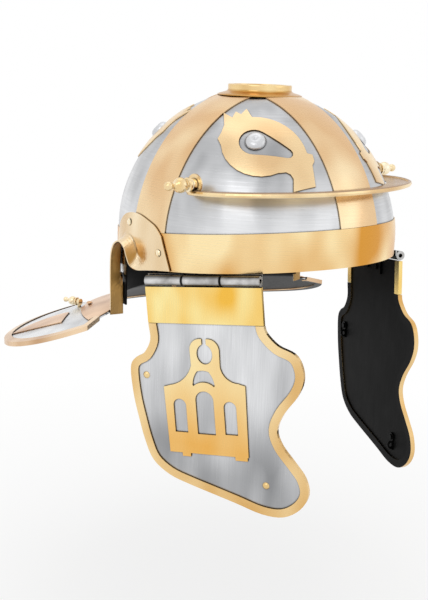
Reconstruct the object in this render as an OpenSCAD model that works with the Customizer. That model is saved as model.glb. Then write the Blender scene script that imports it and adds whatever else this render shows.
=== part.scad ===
// Imperial italic helmet with cross bands, brow guard, wide neck guard and hinged cheek guards.
// Millimetres. The brow faces -Y, up is +Z, the wearer's right is -X.
// The origin is the middle of the bowl's rim, where the crown's axis meets the rim plane.

/* [Bowl] */
// Outer width of the bowl across the ears
bowl_w = 202; // [190:1:215]
// Outer length of the bowl from front to back
bowl_l = 222; // [212:1:232]
// Height of the crown above the origin
crown_z = 126; // [120:1:132]
// Height at which the upright wall starts to curve in
wall_z = 21; // [14:1:24]
// Radius of the shoulder curve, seen from the side
shoulder_r = 88; // [82:1:92]
// Thickness of the steel sheet
sheet = 1.2; // [0.9:0.1:1.5]
// Slope of the rim, higher at the brow, in degrees
rim_tilt = 6; // [4:0.5:8]
// Depth of the nape wall below the rim plane
nape_drop = 31; // [26:1:34]

/* [Brass trim] */
// Thickness of the brass sheet
brass = 0.8; // [0.6:0.1:1]
// Height of the rim band
rim_band_h = 27; // [20:1:30]
// Width of the four cross bands
cross_band_w = 36; // [28:1:40]
// Turn of the cross bands and bird plates from straight ahead, as they were fitted by hand
cross_turn = -3; // [-4:0.5:4]
// Width of the nape band, measured out from the bowl
nape_band_w = 34; // [24:1:38]
// Visible width of the edge bindings
binding_w = 6; // [4:0.5:8]
// Thickness of the brass round each bound edge
binding_t = 1; // [0.8:0.1:1.2]

/* [Crest collar] */
// Outer radius of the crest collar
collar_r = 24; // [22:0.5:26]
// Bore radius of the crest collar
collar_bore_r = 20.5; // [18:0.5:21]
// Height of the collar's lip above the crown
collar_h = 4; // [3.5:0.5:6]
// Radius of the collar's flared foot
collar_foot_r = 32; // [30:0.5:35]
// Length of the slot that takes the crest's foot
slot_l = 24; // [18:1:30]
// Width of that slot
slot_w = 3.6; // [3:0.2:3.8]

/* [Brow guard] */
// Half width of the brow guard
brow_half_w = 98.5; // [94:0.5:104]
// Reach of the brow guard in front of the origin
brow_reach = 115; // [112:1:119]
// Distance of its two ends in front of the origin
brow_end = 38; // [34:1:42]
// Height of its underside at its ends
brow_z = 59; // [54:1:64]
// Forward rise of the brow guard, in degrees
brow_rise = 3; // [1:0.5:4]
// Radius of its rolled outer edge
brow_bead_r = 1.8; // [1.4:0.1:2.2]

/* [Neck guard] */
// Half width of the neck guard
guard_half_w = 156; // [146:1:162]
// Reach of the neck guard behind the origin
guard_reach = 192; // [184:1:198]
// Half length of the oval that it is cut from
guard_half_l = 98; // [92:1:104]
// Fall of the neck guard away from the nape, in degrees
guard_fall = 17.5; // [12:0.5:20]
// Bend radius where it turns out of the nape wall
guard_bend = 14; // [10:0.5:16]
// Start of that bend below the rim plane
guard_turn = 22; // [18:0.5:24]

/* [Ear guards] */
// Front end of the ear opening, behind the origin
ear_front = 13; // [11:0.5:15]
// Rear end of the ear opening
ear_rear = 39; // [38:0.5:41]
// Height of the ear opening above the rim plane
ear_top = 20; // [18:0.5:22]
// Width of the flared lip
ear_lip = 11.5; // [9:0.5:13]

/* [Hinges] */
// Length of the hinge barrel
hinge_l = 86; // [80:1:90]
// Outer radius of the hinge knuckles
knuckle_r = 3.6; // [3.3:0.1:3.8]
// Radius of the hinge pin
pin_r = 1.6; // [1.3:0.1:1.8]
// Gap between two knuckles
knuckle_gap = 0.6; // [0.4:0.1:1]
// Turn of the hinge line away from straight ahead, in degrees
hinge_turn = 24; // [21:0.5:26]
// Slope of the hinge line, in degrees
hinge_slope = 6.5; // [5:0.5:8]

/* [Cheek guards] */
// Width of the cheek guard at its brass top strip
cheek_top_w = 85; // [80:1:90]
// Height of the cheek guard below its hinge line
cheek_h = 167; // [155:1:175]
// Top edge of the plate below the hinge line
cheek_gap = 4.3; // [4.1:0.1:5]
// Height of the brass top strip
strip_h = 26; // [20:1:30]
// Thickness of the temple plates
temple_t = 0.8; // [0.6:0.1:1]

/* [Hidden] */
$fn = 48;

// Colours of the finishes
steel = "silver";
gold = "goldenrod";
dark = "dimgray";

// Clearance between two sheets that lie on each other
lay = 0.15;
// Height of brass lying on the bowl, and of the ear guards lying on that
skin_top = lay + brass;
ear_seat = skin_top + 0.3;
// The bowl is shaped round, with its length as diameter, and then narrowed to an oval
round_r = bowl_l / 2;
narrow = bowl_w / bowl_l;
rise = tan(rim_tilt);
// Centre distance, radius and centre height of the crown curve, tangent to the shoulder curve
shoulder_x = round_r - shoulder_r;
shoulder_drop = wall_z - crown_z;
crown_r = (pow(shoulder_r, 2) - pow(shoulder_x, 2) - pow(shoulder_drop, 2))
    / (2 * (shoulder_drop + shoulder_r));
crown_c = crown_z - crown_r;
tangent_a = atan2(wall_z - crown_c, shoulder_x);
// Size of the blocks that cut the bowl
big = 420;

// Round radius of the bowl at a height
function bowl_r(z) = z < wall_z ? round_r
    : z < wall_z + shoulder_r * sin(tangent_a)
        ? shoulder_x + sqrt(pow(shoulder_r, 2) - pow(z - wall_z, 2))
        : sqrt(max(0, pow(crown_r, 2) - pow(z - crown_c, 2)));

// Point on the wearer's right side of the bowl, stood off it by d, for a place y and height z
function side_normal(x, y) = let (n = [x / pow(narrow, 2), y]) n / norm(n);
function on_side(y, z, d) = let (
    x = -narrow * sqrt(pow(bowl_r(z), 2) - y * y),
    n = side_normal(x, y)) [x + n.x * d, y + n.y * d, z];

// Smooth open curve through points, n steps between two of them
function knot(p, i) = p[max(0, min(len(p) - 1, i))];
function blend(a, b, c, d, t) = 0.5 * ((2 * b) + (c - a) * t + (2 * a - 5 * b + 4 * c - d) * t * t
    + (3 * b - a - 3 * c + d) * t * t * t);
function smooth(p, n) = [for (i = [0 : len(p) - 2], k = [0 : n - 1])
    blend(knot(p, i - 1), p[i], p[i + 1], knot(p, i + 2), k / n), p[len(p) - 1]];

// Arc from a to b that bulges by h to the left of the way from a to b
function arc(a, b, h, n) = let (c = norm(b - a), r = (c * c / 4 + h * h) / (2 * abs(h)),
    m = (a + b) / 2, u = (b - a) / c, l = [-u.y, u.x] * sign(h),
    o = m - l * (r - abs(h)), s = asin(min(1, c / 2 / r)), w = abs(h) > r ? 180 - s : s)
    [for (i = [0 : n]) let (t = -w + 2 * w * i / n) o + l * r * cos(t) + u * r * sin(t)];

// Points on a circle between two angles
function round_part(c, r, a0, a1, n) = [for (i = [0 : n]) let (a = a0 + (a1 - a0) * i / n)
    c + r * [cos(a), sin(a)]];

// Upright half outline of the bowl's outside, grown by d
module bowl_outline(d) {
    intersection() {
        translate([0, -big / 4]) square([big, big]);
        union() {
            translate([0, -big / 4]) square([round_r + d, wall_z + big / 4]);
            intersection() {
                translate([shoulder_x, wall_z]) circle(shoulder_r + d, $fn = 180);
                translate([0, wall_z]) square([big, big]);
            }
            intersection() {
                translate([0, crown_c]) circle(crown_r + d, $fn = 270);
                polygon([[0, crown_c], [big * cos(tangent_a), crown_c + big * sin(tangent_a)],
                    [0, crown_c + big]]);
            }
        }
    }
}

module oval() {
    scale([narrow, 1, 1]) children();
}

module bowl_solid(d) {
    oval() rotate_extrude($fn = 128) bowl_outline(d);
}

// Sheet lying between two heights above the bowl's outside; seam is where its turning starts,
// kept away from holes
module bowl_shell(d0, d1, seam = 0) {
    oval() rotate([0, 0, seam]) rotate_extrude($fn = 128) difference() {
        bowl_outline(d1);
        translate([0, -1]) bowl_outline(d0);
        bowl_outline(d0);
    }
}

// Everything below a plane parallel to the rim, h above it
module below_rim(h) {
    translate([0, 0, h]) rotate([-rim_tilt, 0, 0]) translate([-big / 2, -big / 2, -big])
        cube([big, big, big]);
}

// Upright outline along the rim, drawn as place behind the origin and height above the rim
module across(half_w) {
    rotate([-rim_tilt, 0, 0]) rotate([90, 0, 90]) translate([0, 0, -half_w])
        linear_extrude(2 * half_w) children();
}

// Both ear openings, grown by d
module ear_opening(d) {
    ear_r = (ear_rear - ear_front) / 2;
    across(big / 2) {
        translate([ear_front + ear_r, ear_top - ear_r]) circle(ear_r + d);
        translate([ear_front - d, -big / 4]) square([2 * (ear_r + d), big / 4 + ear_top - ear_r]);
    }
}

module on_both_sides() {
    children();
    mirror([1, 0, 0]) children();
}

// Rivet places on the wearer's right: ear guard and nape, as place and height
ear_rivet_places = [[28.5, 30.3], [-8.5, 13.9]];
rivet_r = 1.4;
rivet_fit = 0.1;

// Stands children on the right side of the bowl with +Z pointing out of it
module stand_on_side(p, d) {
    c = on_side(p[0], p[1], d);
    n = side_normal(on_side(p[0], p[1], 0).x, p[0]);
    translate(c) rotate([0, 0, atan2(n.y, n.x)]) rotate([0, 90, 0]) children();
}

module rivet_holes() {
    on_both_sides() for (p = ear_rivet_places)
        stand_on_side(p, 0) translate([0, 0, -8])
            cylinder(r = rivet_r + rivet_fit, h = 16, $fn = 16);
}

module skull_bowl() {
    color(steel) difference() {
        bowl_shell(-sheet, 0, 45);
        // the open front and sides end at the rim, the nape goes down to the neck guard
        difference() {
            below_rim(0);
            translate([-big / 2, ear_rear, -big]) cube([big, big, 2 * big]);
        }
        below_rim(-nape_drop);
        ear_opening(0);
        rivet_holes();
        hinge_rivet_holes();
    }
}

module rim_band() {
    color(gold) difference() {
        intersection() {
            bowl_shell(lay, skin_top);
            below_rim(rim_band_h);
        }
        below_rim(0);
        ear_opening(1.5);
        rivet_holes();
    }
}

// Corners of the cross bands meet on this circle, under the collar's foot
band_clear_r = cross_band_w / sqrt(2) + 0.3;

// One of the four cross bands, turned to its quarter
module cross_band(turn) {
    color(gold) difference() {
        intersection() {
            bowl_shell(lay, skin_top);
            rotate([0, 0, turn + cross_turn]) translate([-cross_band_w / 2, -big / 2, 0])
                cube([cross_band_w, big / 2, big / 2]);
        }
        below_rim(rim_band_h + 0.2);
        cylinder(r = band_clear_r, h = big);
    }
}

// Turned collar with its flared foot seated on the cross bands
slot_plate_t = 1.2;
// The slot plate lies on its seat, just above the crown
slot_plate_up = 0.6;
slot_depth = collar_h - slot_plate_up - slot_plate_t;
plate_seat_r = collar_bore_r - 0.6;
module crest_collar() {
    ledge_w = 2;
    foot_t = 1;
    lip_z = crown_z + collar_h;
    foot_top = crown_c + sqrt(pow(crown_r + skin_top + lay, 2) - pow(collar_foot_r, 2)) + foot_t;
    chamfer = 0.8;
    color(gold) difference() {
        rotate_extrude($fn = 96) difference() {
            polygon(concat([[0, crown_z - 12], [collar_foot_r, crown_z - 12],
                [collar_foot_r, foot_top]], arc([collar_foot_r - 0.4, foot_top + 0.3],
                [collar_r - 0.6, crown_z + 0.6], -1.6, 10), [[collar_r, crown_z + 0.8],
                [collar_r, lip_z - chamfer], [collar_r - chamfer, lip_z], [0, lip_z]]));
            translate([-1, crown_z - 20]) square([collar_bore_r - ledge_w + 1, big]);
            translate([-1, lip_z - slot_depth]) square([collar_bore_r + 1, big]);
            translate([-1, lip_z - slot_depth - slot_plate_t]) square([plate_seat_r + 1, big]);
        }
        bowl_solid(skin_top + lay);
    }
}

module crest_slot_plate() {
    top_z = crown_z + slot_plate_up + slot_plate_t;
    color(gold) difference() {
        translate([0, 0, top_z - slot_plate_t + 0.05])
            cylinder(r = plate_seat_r - 0.1, h = slot_plate_t - 0.15, $fn = 96);
        translate([-slot_w / 2, -slot_l / 2, top_z - 2 * slot_plate_t])
            cube([slot_w, slot_l, 4 * slot_plate_t]);
    }
}

// Bird-head plate, drawn flat and laid on the quarter of the bowl that it faces
bird_turn = -42;
bird_lift = 40;
// The comb: three tips and the notches between them
comb = [[-28, 38], [-28.6, 52.1], [-22.2, 45.2], [-19.7, 52], [-15.8, 48.3], [-11.8, 54.7],
    [-8.5, 46]];
// The brow of the head down to the barb at the back of the neck
barb = [[35.6, 15.4], [36.9, 10.3], [35.4, 6.6]];
neck_foot = [[37.7, -8.9], [21.8, -15.9]];
eye_c = [-6.5, 20.5];
eye_r = 11;
eye_tail_c = [17.5, 12.5];
eye_tail_r = 4;
boss_c = [-5.4, 21];
boss_r = 7.4;

module bird_outline() {
    polygon(concat(comb, arc([-7.9, 44.7], [31.6, 15.5], 8.6, 8), barb, neck_foot,
        arc([21.7, -6.5], [13, -3.3], -2.2, 3), arc([11, -3.6], [-30.1, 19], 13, 9),
        [[-32.6, 25.6], [-30.3, 30.3]]));
}

module bird_eye() {
    way = eye_tail_c - eye_c;
    touch = acos((eye_r - eye_tail_r) / norm(way));
    a0 = atan2(way.y, way.x) - touch;
    a1 = a0 + 2 * touch;
    polygon(concat(round_part(eye_c, eye_r, a1, a0 + 360, 14),
        round_part(eye_tail_c, eye_tail_r, a0, a1, 4)));
}

// Lays a flat outline over the front right quarter of the bowl
module face_quarter() {
    rotate([0, 0, bird_turn]) rotate([90 - bird_lift, 0, 0]) translate([0, 0, 10])
        linear_extrude(big / 2) children();
}

// Mirrors children into one of the four quarters and turns them with the cross bands
module in_quarter(side, end) {
    rotate([0, 0, cross_turn]) scale([side, end, 1]) children();
}

module bird_plate(side, end) {
    color(gold) intersection() {
        bowl_shell(lay, skin_top);
        oval() in_quarter(side, end) face_quarter() difference() {
            bird_outline();
            bird_eye();
        }
    }
}

// Domed boss with a dimple, standing in the eye square to the bowl's curve
module eye_boss(side, end) {
    boss_h = 3.4;
    dimple_r = 1.5;
    dimple_d = 0.5;
    under_r = 100;
    seat = bowl_point(boss_c, side, end);
    out = [seat.x / pow(narrow, 2), seat.y, seat.z - crown_c];
    drop = under_r - sqrt(pow(under_r, 2) - pow(boss_r, 2));
    translate(seat) rotate([0, acos(out.z / norm(out)), atan2(out.y, out.x)])
        rotate_extrude() polygon(concat([[0, lay], [boss_r / 2, lay - drop / 4],
            [boss_r, lay - drop]], arc([boss_r, 0.1], [dimple_r, boss_h], -1.5, 10),
            arc([dimple_r * 0.9, boss_h - 0.05], [0, boss_h - dimple_d], 0.15, 4)));
}

// Place on the oval bowl that lies behind a point of the flat outline
function bowl_hit(p, k) = let (
    s = [cos(bird_turn), sin(bird_turn), 0],
    t = [-sin(bird_turn) * sin(bird_lift), cos(bird_turn) * sin(bird_lift), cos(bird_lift)],
    w = [sin(bird_turn) * cos(bird_lift), -cos(bird_turn) * cos(bird_lift), sin(bird_lift)])
    p[0] * s + p[1] * t + k * w;
function bowl_search(p, k, n) = let (q = bowl_hit(p, k), e = norm([q.x, q.y]) - bowl_r(q.z))
    n == 0 ? q : bowl_search(p, k - e, n - 1);
function bowl_point(p, side, end) = let (q = bowl_search(p, round_r, 40), x = q.x * side, y = q.y * end)
    [(x * cos(cross_turn) - y * sin(cross_turn)) * narrow,
        x * sin(cross_turn) + y * cos(cross_turn), q.z];

module eye_bosses() {
    color(steel) for (side = [-1, 1], end = [-1, 1]) eye_boss(side, end);
}

// Brow guard: a shelf that follows the bowl, with a rolled edge and two round ends
brow_b = brow_reach - brow_end;
brow_slope = tan(brow_rise);
brow_t = 1.2;
brow_lobe_r = 9;
brow_lobe_x = brow_half_w - brow_lobe_r;
// Height of the shelf's underside at a place y
function brow_under(y) = brow_z - brow_slope * (y + brow_end);
// Outer edge of the shelf, from the right end round the front to the left end
function brow_edge(n) = [for (i = [0 : n]) let (a = 180 + 180 * i / n)
    [brow_half_w * cos(a), -brow_end + brow_b * sin(a)]];
function lobe_edge(n) = [for (i = [0 : n - 1]) let (a = 90 + 90 * i / n)
    [-brow_lobe_x + brow_lobe_r * cos(a), -brow_end + brow_lobe_r * sin(a)]];
function flip(p) = [for (i = [len(p) - 1 : -1 : 0]) [-p[i].x, p[i].y]];
function brow_path(n) = concat(lobe_edge(6), brow_edge(n), flip(lobe_edge(6)));

// Tube of radius r along a path of points whose frame has +Z nearly across it
function side_of(p, i) = let (d = p[min(len(p) - 1, i + 1)] - p[max(0, i - 1)])
    [d.y, -d.x, 0] / norm([d.x, d.y]);
module tube(p, r, sides) {
    rings = [for (i = [0 : len(p) - 1], k = [0 : sides - 1]) let (a = 360 * k / sides)
        p[i] + side_of(p, i) * r * cos(a) + [0, 0, r * sin(a)]];
    n = len(p);
    walls = [for (i = [0 : n - 2], k = [0 : sides - 1]) let (j = (k + 1) % sides)
        each [[i * sides + k, i * sides + j, (i + 1) * sides + j],
            [i * sides + k, (i + 1) * sides + j, (i + 1) * sides + k]]];
    caps = [[for (k = [sides - 1 : -1 : 0]) k], [for (k = [0 : sides - 1]) (n - 1) * sides + k]];
    polyhedron(rings, concat(walls, caps));
}

// The sheet's two ends are turned up into round lugs that carry the knobs
lug_r = 7;
lug_x = -(brow_half_w - 1.8);
lug_z = brow_under(-brow_end) + 6.5;
stem_r = 1.8;
module brow_lug() {
    base_half = 3.6;
    translate([lug_x, -brow_end, lug_z]) rotate([90, 0, 90]) linear_extrude(brow_t)
        polygon(concat([[base_half, -6]], round_part([0, 0], lug_r, -35, 215, 24), [[-base_half, -6]]));
}

module brow_guard() {
    edge = brow_path(44);
    color(gold) difference() {
        union() {
            intersection() {
                translate([0, 0, brow_under(0)]) rotate([-brow_rise, 0, 0])
                    translate([-big / 2, -big / 2, 0]) cube([big, big, brow_t]);
                linear_extrude(big / 2) polygon(edge);
            }
            tube([for (p = edge) [p.x, p.y, brow_under(p.y) + brow_t / 2]], brow_bead_r, 8);
            on_both_sides() brow_lug();
        }
        bowl_solid(skin_top + lay);
        on_both_sides() translate([lug_x - 10, -brow_end, lug_z]) rotate([0, 90, 0])
            cylinder(r = stem_r + 0.1, h = 20, $fn = 16);
    }
}

// Turned knob on the outer face of its lug, with its stem riveted through the lug
module brow_finial() {
    color(gold) translate([lug_x, -brow_end, lug_z]) rotate([0, -90, 0]) {
        translate([0, 0, 0.05]) rotate_extrude($fn = 32) turned_knob();
        translate([0, 0, -brow_t - 1]) cylinder(r = stem_r, h = brow_t + 2, $fn = 16);
        translate([0, 0, -brow_t - 1.8]) cylinder(r1 = 1.8, r2 = 2.8, h = 1.7, $fn = 20);
    }
}

// Half outline of a knob standing on its foot: ring, bead, ball, neck and small ball at the tip
knob_l = 25.5;
module turned_knob() {
    polygon(concat([[0, 0], [3.9, 0], [3.9, 3.4], [3.5, 4], [3.5, 4.6], [4.9, 5.1], [4.9, 6.5],
        [3.6, 7.3]], round_part([0, 12.2], 5.3, -48, 58, 12), [[2, 17.6], [1.7, 18.4], [1.8, 19.3]],
        round_part([0, knob_l - 3.1], 3.1, -50, 90, 10)));
}

// Bent sheet in the slope frame: an upright wall, a bend and a falling flange
function turn_out(c, r, n) = [for (i = [0 : n]) let (b = (90 - guard_fall) * i / n)
    c - r * [cos(b), sin(b)]];
module bent_profile(r0, bend, t, top, reach) {
    c = [r0 + bend, -guard_turn];
    out = [cos(guard_fall), -sin(guard_fall)];
    up = [sin(guard_fall), cos(guard_fall)];
    polygon(concat([[r0, top]], turn_out(c, bend, 8), [c - bend * up + reach * out,
        c - (bend - t) * up + reach * out],
        [for (i = [8 : -1 : 0]) turn_out(c, bend - t, 8)[i]], [[r0 + t, top]]));
}

// The neck guard and what lies on it are turned round, then sloped with the rim
module slope_frame() {
    multmatrix([[narrow, 0, 0, 0], [0, 1, 0, 0], [0, -rise, 1, 0], [0, 0, 0, 1]]) children();
}

guard_r0 = round_r + 0.2;
guard_len = 120;
// Wall top of the neck guard's flange, and of the nape band over it
guard_wall_top = -14;
band_r0 = guard_r0 + sheet + lay;
band_bend = guard_bend - sheet - lay;

// Plan of the neck guard, grown by d: an oval cut off behind the ear guards
front_cut_x = bowl_w / 2 + ear_seat + ear_lip + 1.5;
front_cut_y = ear_rear + 5.9;
front_cut_slope = 0.36;
function guard_oval(d, n) = [for (i = [0 : n - 1]) let (a = 360 * i / n)
    [(guard_half_w + d) * cos(a), guard_reach - guard_half_l + (guard_half_l + d) * sin(a)]];
module guard_plan(d) {
    translate([0, 0, -big / 2]) linear_extrude(big) intersection() {
        polygon(guard_oval(d, 120));
        polygon([[0, front_cut_y - d], [front_cut_x, front_cut_y - d],
            [big, front_cut_y - d - (big - front_cut_x) * front_cut_slope], [big, big],
            [-big, big], [-big, front_cut_y - d - (big - front_cut_x) * front_cut_slope],
            [-front_cut_x, front_cut_y - d]]);
    }
}

module neck_guard() {
    color(steel) difference() {
        intersection() {
            slope_frame() rotate_extrude($fn = 128)
                bent_profile(guard_r0, guard_bend, sheet, guard_wall_top, guard_len);
            guard_plan(0);
        }
        nape_rivet_holes();
    }
}

module neck_guard_binding() {
    grow = binding_t + lay;
    start_x = front_cut_x;
    color(gold) difference() {
        intersection() {
            slope_frame() rotate_extrude($fn = 128)
                translate([guard_r0 + guard_bend, -guard_turn]) rotate(-guard_fall)
                    translate([0, -guard_bend - grow]) square([guard_len, sheet + 2 * grow]);
            guard_plan(grow);
        }
        guard_plan(-binding_w + grow);
        intersection() {
            slope_frame() rotate_extrude($fn = 128)
                translate([guard_r0 + guard_bend, -guard_turn]) rotate(-guard_fall)
                    translate([-1, -guard_bend - lay]) square([guard_len + 2, sheet + 2 * lay]);
            guard_plan(lay);
        }
        translate([-start_x, 0, -big / 2]) cube([2 * start_x, front_cut_y + 20, big]);
    }
}

// Brass band in the angle of the nape, over the inner part of the neck guard
module nape_band() {
    color(gold) difference() {
        intersection() {
            slope_frame() rotate_extrude($fn = 128)
                bent_profile(band_r0, band_bend, brass, guard_wall_top - 2,
                    nape_band_w - band_bend);
            guard_plan(-0.6);
        }
        // clear of the binding at the two front corners
        on_both_sides() translate([-front_cut_x, 0, -big / 2]) mirror([1, 0, 0])
            cube([60, front_cut_y + binding_w - 1, big]);
        nape_rivet_holes();
    }
}

// Leaf-shaped plate on the right wing of the neck guard
leaf_tip = [-(guard_half_w - 17), guard_reach - 61];
leaf_root = [-(guard_half_w - 33), front_cut_y + 38.4];
leaf_inner = [-bowl_w / 2, front_cut_y + 60.4];
module neck_leaf() {
    lift = sheet + lay;
    color(gold) intersection() {
        slope_frame() rotate_extrude($fn = 128)
            translate([guard_r0 + guard_bend, -guard_turn]) rotate(-guard_fall)
                translate([0, -guard_bend + lift]) square([guard_len, brass]);
        translate([0, 0, -big / 2]) linear_extrude(big) polygon(concat([leaf_root],
            arc(leaf_tip, leaf_inner, 15, 14)));
    }
}

// Places of the nape rivets on the right, and height of the guard's top there
function guard_top(x, y) = let (d = norm([x / narrow, y]) - guard_r0 - guard_bend)
    -guard_turn - rise * y - (guard_bend - sheet) / cos(guard_fall) - tan(guard_fall) * d;
nape_rivet_places = [[-87, 97], [-30, 130]];

module nape_rivet_holes() {
    on_both_sides() for (p = nape_rivet_places)
        translate([p[0], p[1], guard_top(p[0], p[1]) - 10])
            cylinder(r = rivet_r + rivet_fit, h = 20, $fn = 16);
    on_both_sides() translate([peg_place[0], peg_place[1], guard_top(peg_place[0], peg_place[1]) - 10])
        cylinder(r = rivet_r + rivet_fit, h = 20, $fn = 16);
}

module nape_rivets() {
    color(gold) on_both_sides() for (p = nape_rivet_places) {
        z = guard_top(p[0], p[1]) + lay + brass;
        translate([p[0], p[1], z]) rivet(sheet + brass + lay, 1.4);
    }
}

// Round-head rivet through a stack of sheets, its head's seat at z = 0 lifted by the slope
module rivet(stack, lift) {
    head_r = 2.6;
    head_h = 1.4;
    ball_r = (head_r * head_r + head_h * head_h) / (2 * head_h);
    intersection() {
        translate([0, 0, lift + head_h - ball_r]) sphere(ball_r, $fn = 32);
        translate([0, 0, lift]) cylinder(r = head_r, h = head_h, $fn = 24);
    }
    translate([0, 0, -stack - lift - 0.5]) cylinder(r = rivet_r, h = stack + 2 * lift + 0.7, $fn = 16);
    translate([0, 0, -stack - lift - 0.95]) cylinder(r = 2.2, h = 0.9, $fn = 20);
}

// Turned peg lying just over the guard behind the nape band, on a post riveted through the guard
peg_place = [-84, 116];
peg_turn = 18;
peg_scale = 0.68;
module neck_peg() {
    z = guard_top(peg_place[0], peg_place[1]);
    axis_up = 4.4;
    foot = 1.6;
    color(gold) translate([peg_place[0], peg_place[1], z]) {
        translate([0, 0, -sheet - 1.9]) cylinder(r = rivet_r, h = axis_up + sheet + 1.4, $fn = 16);
        translate([0, 0, -sheet - 2]) cylinder(r = 2.2, h = 0.9, $fn = 20);
        translate([0, 0, axis_up]) rotate([0, 0, peg_turn]) rotate([-90, 0, 0])
            translate([0, 0, -foot]) scale(peg_scale) rotate_extrude($fn = 32) turned_knob();
    }
}

// Closed sheet between a grid of points and the same grid moved along its normals by t
function grid_normal(g, i, j) = let (
    a = g[min(len(g) - 1, i + 1)][j] - g[max(0, i - 1)][j],
    b = g[i][min(len(g[0]) - 1, j + 1)] - g[i][max(0, j - 1)],
    n = cross(a, b)) n / norm(n);
module sheet_solid(g, t) {
    rows = len(g);
    cols = len(g[0]);
    top = [for (i = [0 : rows - 1], j = [0 : cols - 1]) g[i][j] + t * grid_normal(g, i, j)];
    bottom = [for (i = [0 : rows - 1], j = [0 : cols - 1]) g[i][j]];
    b = rows * cols;
    function at(i, j) = i * cols + j;
    skin = [for (i = [0 : rows - 2], j = [0 : cols - 2]) each [
        [at(i, j), at(i + 1, j + 1), at(i + 1, j)], [at(i, j), at(i, j + 1), at(i + 1, j + 1)],
        [b + at(i, j), b + at(i + 1, j), b + at(i + 1, j + 1)],
        [b + at(i, j), b + at(i + 1, j + 1), b + at(i, j + 1)]]];
    ends = [for (j = [0 : cols - 2]) each [
        [at(0, j), b + at(0, j), b + at(0, j + 1)], [at(0, j), b + at(0, j + 1), at(0, j + 1)],
        [at(rows - 1, j), b + at(rows - 1, j + 1), b + at(rows - 1, j)],
        [at(rows - 1, j), at(rows - 1, j + 1), b + at(rows - 1, j + 1)]]];
    sides = [for (i = [0 : rows - 2]) each [
        [at(i, 0), b + at(i + 1, 0), b + at(i, 0)], [at(i, 0), at(i + 1, 0), b + at(i + 1, 0)],
        [at(i, cols - 1), b + at(i, cols - 1), b + at(i + 1, cols - 1)],
        [at(i, cols - 1), b + at(i + 1, cols - 1), at(i + 1, cols - 1)]]];
    polyhedron(concat(top, bottom), concat(skin, ends, sides));
}

// Ear guard: a plate on the bowl whose inner edge flares out round the ear opening.
// Edge of the opening and edge of the plate, as place behind the origin and height over the rim
leg_s = ear_rear + 0.8;
ear_edge = [[-19.5, 0.5], [-8, 0.3], [2, 0], [ear_front - 4, 0], [ear_front + 0.5, 3],
    [ear_front + 2.5, 9], [ear_front + 6, ear_top - 4.5], [ear_front + 13, ear_top - 0.5],
    [ear_rear - 5, ear_top - 3.5], [ear_rear - 0.5, ear_top - 10], [leg_s, 2], [leg_s, -10],
    [leg_s, -22], [leg_s, -38]];
ear_rim = [[-10.6, 25], [-4, 31.5], [5, 35.8], [14, 39], [22, 40.3], [30, 40.2], [38, 38.5],
    [45, 34.5], [50, 28], [53, 19], [54, 8], [52, -4], [leg_s + 3.3, -12.8], [leg_s + 1.4, -38]];
ear_flare = [0, 0.04, 0.3, 0.62, 0.86, 1, 1, 1, 1, 1, 1, 1, 1, 1];
flare_w = 10;
ear_t = 1;

// Point of the ear guard: v runs from the opening at 0 to the plate's outer edge at 1
function ear_point(c, r, f, v) = let (p = c + (r - c) * v, w = min(flare_w, norm(r - c)),
    k = max(0, 1 - v * norm(r - c) / w))
    on_side(p[0], p[1] - rise * p[0], ear_seat + (ear_lip - ear_t) * f * k * k);
module ear_guard() {
    n = 4;
    edge = smooth(ear_edge, n);
    rim = smooth(ear_rim, n);
    flare = smooth([for (f = ear_flare) [f, 0]], n);
    v_steps = [0, 0.06, 0.12, 0.2, 0.3, 0.42, 0.6, 0.8, 1];
    color(gold) difference() {
        sheet_solid([for (i = [len(edge) - 1 : -1 : 0]) [for (v = v_steps)
            ear_point(edge[i], rim[i], flare[i][0], v)]], ear_t);
        for (p = ear_rivet_places)
            stand_on_side(p, 0) cylinder(r = rivet_r + rivet_fit, h = 8, $fn = 16);
    }
}

module ear_rivets() {
    color(gold) on_both_sides() for (p = ear_rivet_places)
        stand_on_side(p, ear_seat + ear_t + 0.1) rivet(ear_seat + ear_t + sheet, 0.25);
}

// Frame of the right cheek guard: x runs back along the hinge, y down, z outward
hinge_mid_y = -45;
hinge_stand = 1.8;
hinge_along = [-sin(hinge_turn) * cos(hinge_slope), cos(hinge_turn) * cos(hinge_slope),
    -sin(hinge_slope)];
hinge_out = [-cos(hinge_turn), -sin(hinge_turn), 0];
hinge_down = cross(hinge_out, hinge_along);
// The hinge line touches the bowl's side at its middle and lies just under the rim there
hinge_mid = on_side(hinge_mid_y, 0, hinge_stand) - [0, 0, knuckle_r + 1.2 + rise * hinge_mid_y];
hinge_start = hinge_mid - hinge_along * hinge_l / 2;

module cheek_frame() {
    multmatrix([[hinge_along.x, hinge_down.x, hinge_out.x, hinge_start.x],
        [hinge_along.y, hinge_down.y, hinge_out.y, hinge_start.y],
        [hinge_along.z, hinge_down.z, hinge_out.z, hinge_start.z],
        [0, 0, 0, 1]]) children();
}

knuckle_l = (hinge_l - 2 * knuckle_gap) / 3;
leaf_t = 1.1;
// Gap in which the fixed leaf passes inside the bowl's wall
leaf_in = hinge_stand + sheet + 0.15;
tab_half_w = 12;
tab_h = 13;
web_top = knuckle_r + 0.6;

// Barrel between two places along the hinge
module barrel(u0, u1) {
    translate([u0, 0, 0]) rotate([0, 90, 0]) cylinder(r = knuckle_r, h = u1 - u0, $fn = 32);
}

module pin_hole(fit) {
    translate([-5, 0, 0]) rotate([0, 90, 0]) cylinder(r = pin_r + fit, h = hinge_l + 10, $fn = 24);
}

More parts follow.
